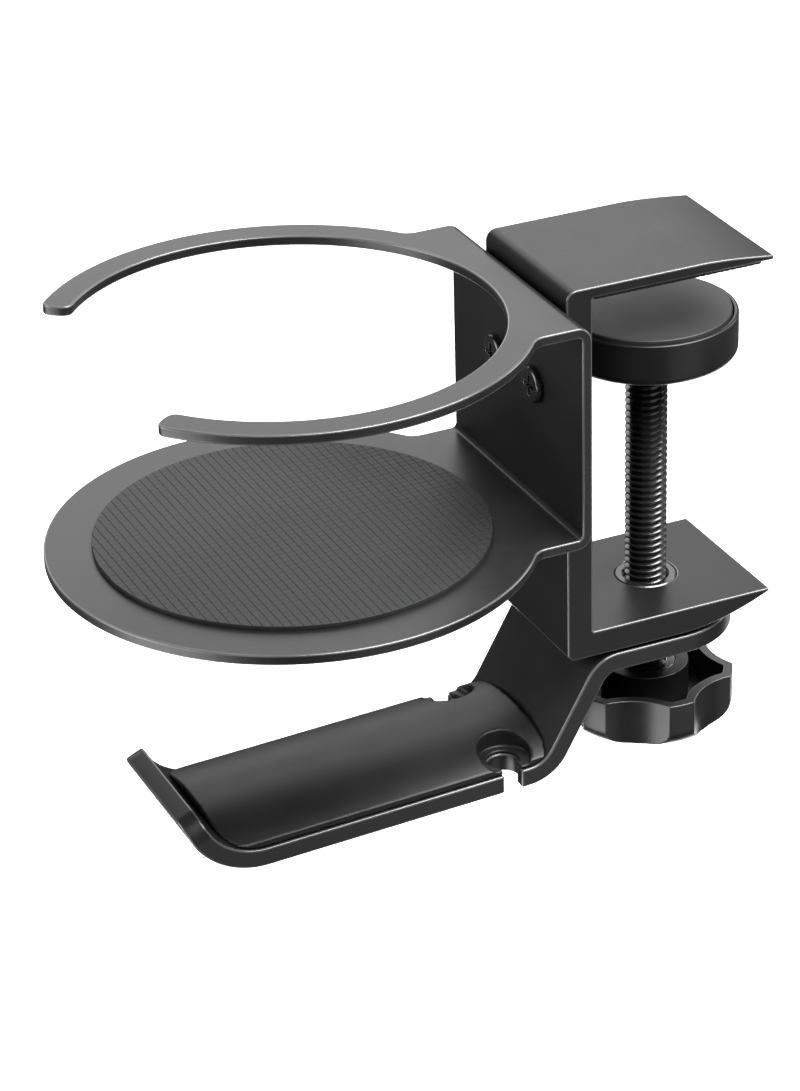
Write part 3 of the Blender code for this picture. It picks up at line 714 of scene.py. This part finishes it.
def groove_lines(reach):
    """Positions and depths across the mat: each groove has a floor and two lips."""
    half = MAT_GROOVE / 2
    count = int(reach / MAT_CELL)
    lines = [(-reach, 0.0)]
    for k in range(-count, count + 1):
        center = k * MAT_CELL
        lines += [(center - half, 0.0), (center, MAT_GROOVE_DEPTH), (center + half, 0.0)]
    return lines + [(reach, 0.0)]


def make_cup_mat():
    """A rubber disc with a rounded rim, its face cut by a square grid of grooves."""
    reach = MAT_RADIUS + MAT_GRID_MARGIN
    lines = groove_lines(reach)
    build = bmesh.new()
    rows = []
    for x, x_depth in lines:
        row = []
        for y, y_depth in lines:
            height = mat_high.z - max(x_depth, y_depth)
            row.append(build.verts.new(Vector((CUP_X + x, y, height)) * MM))
        rows.append(row)
    for here, after in zip(rows, rows[1:]):
        for k in range(len(here) - 1):
            build.faces.new((here[k], after[k], after[k + 1], here[k + 1]))
    border = [row[0] for row in rows] + rows[-1][1:]
    border += [row[-1] for row in rows[-2::-1]] + rows[0][-2:0:-1]
    foot = [build.verts.new(Vector((v.co.x, v.co.y, (mat_low.z - 1) * MM))) for v in border]
    for i in range(len(border)):
        j = (i + 1) % len(border)
        build.faces.new((border[i], border[j], foot[j], foot[i]))
    build.faces.new(foot)
    mat = link_mesh("mat", build)
    rim = circle((CUP_X, 0), MAT_RADIUS, MAT_STEPS)
    disc = [(rim, mat_low.z), (rim, mat_high.z - MAT_EDGE)]
    for step in range(1, 6):
        turn = math.pi / 2 * step / 5
        radius = MAT_RADIUS - MAT_EDGE * (1 - math.cos(turn))
        height = mat_high.z + GAP - MAT_EDGE * (1 - math.sin(turn))
        disc.append((circle((CUP_X, 0), radius, MAT_STEPS), height))
    combine(mat, "INTERSECT", stack("mat_disc", disc))
    show(mat, "cup_mat", "rubber")


def cross_recess(name, tip, depth, at, axis):
    """A cross-shaped driver recess that narrows towards its floor, as one closed cutter."""
    def cross(arm, half):
        quarter = [(arm, -half), (arm, half), (half, half)]
        outline = []
        for turn in range(4):
            rotation = Matrix.Rotation(-turn * math.pi / 2, 2)
            outline += [tuple(Vector(point) @ rotation) for point in quarter]
        return [(at[0] + x, at[1] + y) for x, y in outline]

    layers = [(cross(2.5, 0.62), tip), (cross(1.5, 0.4), tip + depth)]
    return stack(name, layers, axis)


def pan_head(at, radius, seat, height):
    """The domed layers of a pan head, from its crown to its seat."""
    layers = []
    for step in range(9):
        turn = math.pi / 2 * step / 8
        share = 0.8 + 0.2 * math.sin(turn) ** 0.9
        rise = height * (0.4 + 0.6 * math.cos(turn))
        layers.append((circle(at, radius * share, SCREW_STEPS), seat - rise))
    layers[0] = (circle(at, radius * 0.78, SCREW_STEPS), seat - height)
    return layers + [(circle(at, radius, SCREW_STEPS), seat)]


def make_bracket_screw(node, side):
    """A pan-head machine screw along +X, with its head against the bracket."""
    seat = bracket_high.x - SHEET - GAP
    at = (side * SCREW_Y, SCREW_Z)
    end = seat + SCREW_LENGTH
    shank = circle(at, SCREW_SHANK, SCREW_STEPS)
    layers = pan_head(at, SCREW_HEAD, seat, SCREW_HEAD_HEIGHT)
    layers += [(shank, seat + 0.02), (shank, end - 0.5)]
    layers += [(circle(at, SCREW_SHANK - 0.5, SCREW_STEPS), end)]
    screw = stack(node + "_look", layers, "X")
    tip = seat - SCREW_HEAD_HEIGHT - 0.4
    combine(screw, "DIFFERENCE", cross_recess("recess", tip, 2.0, at, "X"))
    show(soften(screw, 0.09, 2), node, "black_steel")


# The pressure pad.


def make_pad_cup():
    inner = PAD_RADIUS - PAD_WALL
    bottom, top = cup_low.z, cup_high.z
    floor = bottom + PAD_FLOOR
    ledge = bottom + PAD_LEDGE
    rim = (PAD_RADIUS - PAD_RIM_ROUND, top - PAD_RIM_ROUND)
    foot = (PAD_RADIUS - PAD_FOOT_ROUND, bottom + PAD_FOOT_ROUND)
    mouth = THREAD_CREST + 0.3
    profile = arc(rim, PAD_RIM_ROUND, 90, 0, 5)
    profile += arc(foot, PAD_FOOT_ROUND, 0, -90, 12)
    profile += [(THREAD_CREST + 0.6, bottom), (mouth, bottom + 0.3), (mouth, floor)]
    profile += [(PAD_LEDGE_RADIUS, floor), (PAD_LEDGE_RADIUS, ledge)]
    profile += [(inner, ledge), (inner, top - 0.3)]
    profile += [(inner + 0.1, top - 0.08), (inner + 0.3, top)]
    show(lathe("pad", profile, 180), "pad_cup", "black_plastic", smooth=40)


def make_pad_plate():
    radius = (plate_high.x - plate_low.x) / 2
    plate = prism("plate", circle((0, 0), radius), plate_low.z, plate_high.z)
    show(soften(plate, 0.15), "pad_plate", "black_plastic")


def make_pad_inlay():
    """A smooth rubber disc with a rounded rim, sunk a little into the pad."""
    radius = (inlay_high.x - inlay_low.x) / 2
    disc = prism("inlay", circle((0, 0), radius, 180), inlay_low.z, inlay_high.z)
    show(soften(disc, 0.35, 4), "pad_inlay", "inlay_rubber")


# The clamp screw and its knob.


def make_clamp_screw():
    rod = link_mesh("rod", threaded_rod(rod_low.z, THREAD_TOP))
    neck = prism("neck", circle((0, 0), THREAD_ROOT - 0.1), THREAD_TOP - 2, rod_high.z)
    combine(rod, "UNION", neck)
    hole = circle((0, 0), SCREW_SHANK + GAP, HOLE_STEPS)
    bore = prism("bore", hole, rod_low.z - 1, rod_low.z + 7)
    combine(rod, "DIFFERENCE", bore)
    show(rod, "clamp_screw", "black_oxide", smooth=50)


def make_screw_flange():
    low, high = span("screw_flange")
    flange = washer("flange", THREAD_ROOT + 2 * GAP, (high.x - low.x) / 2, low.z, high.z)
    show(soften(flange, 0.2), "screw_flange", "black_steel")


def star_radius(angle, inset):
    """The knob's radius at an angle in degrees, moved inwards by an inset."""
    pitch = 360 / KNOB_LOBES
    from_scallop = (angle - KNOB_FIRST_LOBE) % pitch - pitch / 2
    half = math.radians(pitch / 2 - KNOB_LOBE_HALF)
    chord, depth = KNOB_RADIUS * math.sin(half), KNOB_RADIUS * math.cos(half) - KNOB_WAIST
    scallop = (chord**2 + depth**2) / (2 * depth)
    distance = KNOB_WAIST + scallop
    turn = math.radians(from_scallop)
    under_root = (scallop + inset) ** 2 - (distance * math.sin(turn)) ** 2
    if under_root <= 0:
        return KNOB_RADIUS - inset
    return min(KNOB_RADIUS - inset, distance * math.cos(turn) - math.sqrt(under_root))


def star_outline(inset, limit=KNOB_RADIUS):
    """The knob seen from above, moved inwards by an inset and kept inside a limiting circle."""
    points = []
    for step in range(360):
        angle = KNOB_FIRST_LOBE + step
        radius = min(star_radius(angle, inset), limit)
        turn = math.radians(angle)
        points.append((radius * math.cos(turn), radius * math.sin(turn)))
    return points


def make_knob():
    layers = []
    for step in range(17):
        turn = math.pi / 2 * step / 16
        foot = KNOB_RADIUS - KNOB_FOOT * (1 - math.sin(turn))
        layers.append((star_outline(0.0, foot), KNOB_BOTTOM + KNOB_FOOT * (1 - math.cos(turn))))
    knob = stack("knob_look", layers + [(star_outline(0.0), KNOB_TOP)])
    floor = KNOB_BOTTOM + KNOB_FLOOR
    combine(knob, "DIFFERENCE", prism("pocket", star_outline(KNOB_WALL), floor, KNOB_TOP + 1))
    combine(knob, "UNION", prism("hub", circle((0, 0), HUB_RADIUS), floor - 1, HUB_TOP))
    seat_low = rod_low.z - 0.3
    seat = circle((0, 0), INSERT_RADIUS + GAP)
    combine(knob, "DIFFERENCE", prism("seat", seat, seat_low, HUB_TOP + 1))
    clearance = circle((0, 0), SCREW_SHANK + 3 * GAP, SCREW_STEPS)
    combine(knob, "DIFFERENCE", prism("clearance", clearance, KNOB_BOTTOM - 1, rod_low.z))
    counterbore = circle((0, 0), COUNTERBORE_RADIUS)
    top = KNOB_BOTTOM + COUNTERBORE_DEPTH
    combine(knob, "DIFFERENCE", prism("counterbore", counterbore, KNOB_BOTTOM - 1, top))
    show(soften(knob, 0.22, 3, 24), "knob", "black_plastic", smooth=28)


def make_knob_insert():
    """A smooth steel ring set in the knob's hub."""
    low, high = span("knob_insert")
    insert = washer("insert", BUSHING_BORE, INSERT_RADIUS, low.z, high.z)
    show(soften(insert, 0.25), "knob_insert", "black_steel")


def make_knob_screw():
    low, high = span("knob_screw")
    seat = low.z + SCREW_HEAD_HEIGHT
    shank = circle((0, 0), SCREW_SHANK, SCREW_STEPS)
    layers = pan_head((0, 0), SCREW_HEAD, seat, SCREW_HEAD_HEIGHT)
    layers += [(shank, seat + 0.02), (shank, high.z)]
    screw = stack("knob_screw_look", layers)
    combine(screw, "DIFFERENCE", cross_recess("recess", low.z - 0.4, 2.0, (0, 0), "Z"))
    show(soften(screw, 0.09, 2), "knob_screw", "black_steel")


# The hanger.


def hanger_path(per_bend=18):
    start = (HANGER_ROUND + 2, LEG_CORNER[1])
    return rounded_path([start, LEG_CORNER, BAR_CORNER, LIP_CORNER, LIP_END], per_bend)


def hanger_plan():
    """The plate seen from above: round at the screw, with small corners at the lip."""
    half = hanger_high.y
    left, corner = LIP_END[0] - 6, 4.0
    points = arc((0, 0), HANGER_ROUND, -90, 90, 72)
    points += arc((left + corner, half - corner), corner, 90, 180, 12)
    points += arc((left + corner, corner - half), corner, 180, 270, 12)
    return points


def keyhole(side, radius):
    """A round hole with a slot out to one edge."""
    half_slot = math.degrees(math.asin(SLOT_WIDTH / 2 / radius))
    points = arc((KEYHOLE_X, KEYHOLE_Y), radius, 90 + half_slot, 450 - half_slot, 48)
    far = hanger_high.y + 4
    points += [(KEYHOLE_X + SLOT_WIDTH / 2, far), (KEYHOLE_X - SLOT_WIDTH / 2, far)]
    return [(x, side * y) for x, y in points]


def lip_corner(side):
    """What is cut off the lip's upper corner, drawn across the lip and up from its end."""
    half = hanger_high.y
    points = arc((half - LIP_ROUND, -LIP_ROUND), LIP_ROUND, 90, 0, 20)
    points += [(half + 3, -LIP_ROUND), (half + 3, 3), (half - LIP_ROUND, 3)]
    return [(side * y, up) for y, up in points]


def make_hanger_bracket():
    path = hanger_path()
    outline = offset_path(path, -PLATE / 2) + offset_path(path, PLATE / 2)[::-1]
    hanger = prism("hanger", outline, hanger_low.y - 1, hanger_high.y + 1, "Y")
    combine(hanger, "INTERSECT", prism("plan", hanger_plan(), hanger_low.z - 10, HANGER_TOP + 5))
    pivot = prism("pivot", circle((0, 0), JOURNAL + GAP), HANGER_TOP - PLATE - 2, HANGER_TOP + 2)
    combine(hanger, "DIFFERENCE", pivot)
    for side in (-1, 1):
        slot = prism("slot", keyhole(side, KEYHOLE_RADIUS), BELOW_BAR, PLATE_SLOT_TOP)
        combine(hanger, "DIFFERENCE", slot)
        corner = prism("corner", lip_corner(side), -6, 6, "X")
        corner.location = Vector((LIP_END[0], 0, LIP_END[1])) * MM
        corner.rotation_euler.y = math.atan2(LIP_END[0] - LIP_CORNER[0], LIP_END[1] - LIP_CORNER[1])
        bpy.context.view_layer.update()
        combine(hanger, "DIFFERENCE", corner)
    show(soften(hanger, 0.45, 3), "hanger_bracket", "coated_metal")


def saddle_side_view():
    """What lies above the bar, between the leg and the saddle's left end."""
    surface = offset_path(hanger_path(), -PLATE / 2 - GAP)
    above = [point for point in surface if SADDLE_LEFT_X < point[0] < LEG_CORNER[0] - 8]
    left_end = [(SADDLE_LEFT_X, left_end_height(surface)), (SADDLE_LEFT_X, SADDLE_VIEW_TOP)]
    return above + left_end + [(above[0][0], SADDLE_VIEW_TOP)]


def left_end_height(surface):
    """The height of the bar's upper surface at the saddle's left end."""
    for here, after in zip(surface, surface[1:]):
        if here[0] >= SADDLE_LEFT_X >= after[0]:
            share = (here[0] - SADDLE_LEFT_X) / (here[0] - after[0])
            return here[1] + share * (after[1] - here[1])
    raise ValueError("the saddle's left end is off the bar")


def crown_outline():
    """The saddle's cross-section, with heights above the bar's upper surface."""
    half = SADDLE_WIDTH / 2
    rise = SADDLE_CROWN - SADDLE_SIDE
    points = []
    for step in range(65):
        share = 1 - step / 32
        points.append((share * half, SADDLE_SIDE + rise * (1 - abs(share) ** SADDLE_CROWN_POWER)))
    return points + [(-half, -12), (half, -12)]


def make_hanger_pad():
    half = SADDLE_WIDTH / 2
    left, corner = SADDLE_LEFT_X, SADDLE_CORNER
    plan = [(-25, -half), (-25, half)]
    plan += arc((left + corner, half - corner), corner, 90, 180, 14)
    plan += arc((left + corner, corner - half), corner, 180, 270, 14)
    saddle = prism("saddle", plan, BELOW_BAR, SADDLE_BLOCK_TOP)
    side_view = prism("side_view", saddle_side_view(), -half - 3, half + 3, "Y")
    combine(saddle, "INTERSECT", side_view)
    bar = Vector(BAR_CORNER[:2]) - Vector(LIP_CORNER[:2])
    crown = prism("crown", crown_outline(), -95, 15, "X")
    crown.location = Vector((BAR_CORNER[0], 0, BAR_CORNER[1] + PLATE / 2)) * MM
    crown.rotation_euler.y = -math.atan2(bar.y, bar.x)
    bpy.context.view_layer.update()
    combine(saddle, "INTERSECT", crown)
    for side in (-1, 1):
        slot = prism("slot", keyhole(side, KEYHOLE_RADIUS), BELOW_BAR, SADDLE_SLOT_TOP)
        combine(saddle, "DIFFERENCE", slot)
        recess = circle((KEYHOLE_X, side * (KEYHOLE_Y + 0.6)), RECESS_RADIUS, 72)
        combine(saddle, "DIFFERENCE", prism("recess", recess, RECESS_FLOOR_Z, SADDLE_SLOT_TOP))
    show(melt(saddle, 0.32, 8), "hanger_pad", "saddle", smooth=80)


def make_hanger_fasteners():
    for node, look in (("hanger_washer", "nylon"), ("spring_washer", "black_steel")):
        low, high = span(node)
        disc = washer(node + "_look", JOURNAL + GAP, high.x, low.z, high.z)
        show(soften(disc, 0.12), node, look)
    radius = (nut_high.x - nut_low.x) / 2
    nut = prism("nut", circle((0, 0), radius, 6), nut_low.z, nut_high.z)
    turned = stack("turned", [
        (circle((0, 0), radius - 1.3), nut_low.z - 0.01),
        (circle((0, 0), radius + 0.1), nut_low.z + 0.8),
        (circle((0, 0), radius + 0.1), nut_high.z + 1),
    ])
    combine(nut, "INTERSECT", turned)
    bore = prism("bore", circle((0, 0), JOURNAL + GAP), nut_low.z - 1, nut_high.z + 1)
    combine(nut, "DIFFERENCE", bore)
    show(soften(nut, 0.15), "hanger_nut", "black_steel")


# Stage.


def make_floor():
    """A plain pale floor well below the object. Its underside doesn't hide the object from below."""
    build = bmesh.new()
    bmesh.ops.create_grid(build, x_segments=1, y_segments=1, size=30)
    floor = link_mesh("floor", build)
    floor.location.z = FLOOR_HEIGHT
    material = bpy.data.materials.new("floor")
    material.use_nodes = True
    nodes, links = material.node_tree.nodes, material.node_tree.links
    shader = nodes["Principled BSDF"]
    shader.inputs["Base Color"].default_value = (0.8, 0.8, 0.8, 1)
    shader.inputs["Roughness"].default_value = 0.9
    shader.inputs["Emission Color"].default_value = (1, 1, 1, 1)
    shader.inputs["Emission Strength"].default_value = 0.8
    clear = nodes.new("ShaderNodeBsdfTransparent")
    path = nodes.new("ShaderNodeLightPath")
    side = nodes.new("ShaderNodeNewGeometry")
    front = nodes.new("ShaderNodeMath")
    front.operation = "SUBTRACT"
    front.use_clamp = True
    links.new(path.outputs["Is Camera Ray"], front.inputs[0])
    links.new(side.outputs["Backfacing"], front.inputs[1])
    mix = nodes.new("ShaderNodeMixShader")
    links.new(front.outputs["Value"], mix.inputs["Fac"])
    links.new(clear.outputs["BSDF"], mix.inputs[1])
    links.new(shader.outputs["BSDF"], mix.inputs[2])
    links.new(mix.outputs["Shader"], nodes["Material Output"].inputs["Surface"])
    floor.data.materials.append(material)


def make_world():
    """A white surround for the camera and a dim one for the reflections."""
    world = bpy.data.worlds.new("studio")
    bpy.context.scene.world = world
    world.use_nodes = True
    nodes, links = world.node_tree.nodes, world.node_tree.links
    seen = nodes["Background"]
    seen.inputs["Color"].default_value = (1, 1, 1, 1)
    seen.inputs["Strength"].default_value = 1.0
    reflected = nodes.new("ShaderNodeBackground")
    reflected.inputs["Color"].default_value = (1, 1, 1, 1)
    reflected.inputs["Strength"].default_value = WORLD_REFLECTED
    path = nodes.new("ShaderNodeLightPath")
    mix = nodes.new("ShaderNodeMixShader")
    links.new(path.outputs["Is Camera Ray"], mix.inputs["Fac"])
    links.new(reflected.outputs["Background"], mix.inputs[1])
    links.new(seen.outputs["Background"], mix.inputs[2])
    links.new(mix.outputs["Shader"], nodes["World Output"].inputs["Surface"])


STUDIO_CENTER = Vector((-0.05, 0.0, -0.055))


def softbox(name, azimuth, elevation, distance, size, power):
    """A rectangular light that faces the object. Azimuth 0 is in front, and 90 on the +X side."""
    turn, rise = math.radians(azimuth), math.radians(elevation)
    out = Vector((math.sin(turn) * math.cos(rise), -math.cos(turn) * math.cos(rise), math.sin(rise)))
    lamp = bpy.data.lights.new(name, "AREA")
    lamp.shape = "RECTANGLE"
    lamp.size, lamp.size_y = size
    lamp.energy = power
    obj = bpy.data.objects.new(name, lamp)
    bpy.context.scene.collection.objects.link(obj)
    obj.location = STUDIO_CENTER + out * distance
    obj.rotation_mode = "QUATERNION"
    obj.rotation_quaternion = out.to_track_quat("Z", "Y")
    obj.visible_camera = False


def make_lights():
    softbox("back_wall", 167, 30, 1.6, (1.3, 1.3), 10)
    softbox("overhead", 40, 58, 1.3, (1.3, 0.9), 60)
    softbox("front_low", 25, -30, 1.4, (1.0, 0.6), 1.2)
    softbox("left_low", -84, -27, 1.3, (1.0, 0.9), 16)
    softbox("back_low", 142, -50, 1.3, (1.1, 0.9), 12)
    softbox("left_side", -100, 18, 1.5, (0.9, 0.9), 13)
    softbox("right_side", 95, 15, 1.5, (0.6, 0.9), 5)


CAMERA_PLACE = Vector((-0.35861, -0.66542, 0.32328))
CAMERA_AIM = Vector((-0.06092, 0.0, -0.05822))
CAMERA_ROLL = math.radians(-1.62)
CAMERA_LENS = 124.0


def make_camera():
    data = bpy.data.cameras.new("camera")
    data.lens = CAMERA_LENS
    data.sensor_width = 36
    data.clip_start = 0.01
    camera = bpy.data.objects.new("camera", data)
    bpy.context.scene.collection.objects.link(camera)
    camera.location = CAMERA_PLACE
    camera.rotation_mode = "QUATERNION"
    level = (CAMERA_AIM - CAMERA_PLACE).to_track_quat("-Z", "Y")
    camera.rotation_quaternion = level @ Quaternion((0, 0, 1), CAMERA_ROLL)
    bpy.context.scene.camera = camera


make_camera()
make_world()
make_lights()
make_floor()
bpy.context.scene.view_settings.view_transform = "Standard"

make_clamp_frame()
make_jaw_liner()
make_threaded_bushing()
make_cup_bracket()
make_cup_mat()
make_bracket_screw("bracket_screw_near", -1)
make_bracket_screw("bracket_screw_far", 1)
make_pad_cup()
make_pad_plate()
make_pad_inlay()
make_clamp_screw()
make_screw_flange()
make_knob()
make_knob_insert()
make_knob_screw()
make_hanger_bracket()
make_hanger_pad()
make_hanger_fasteners()
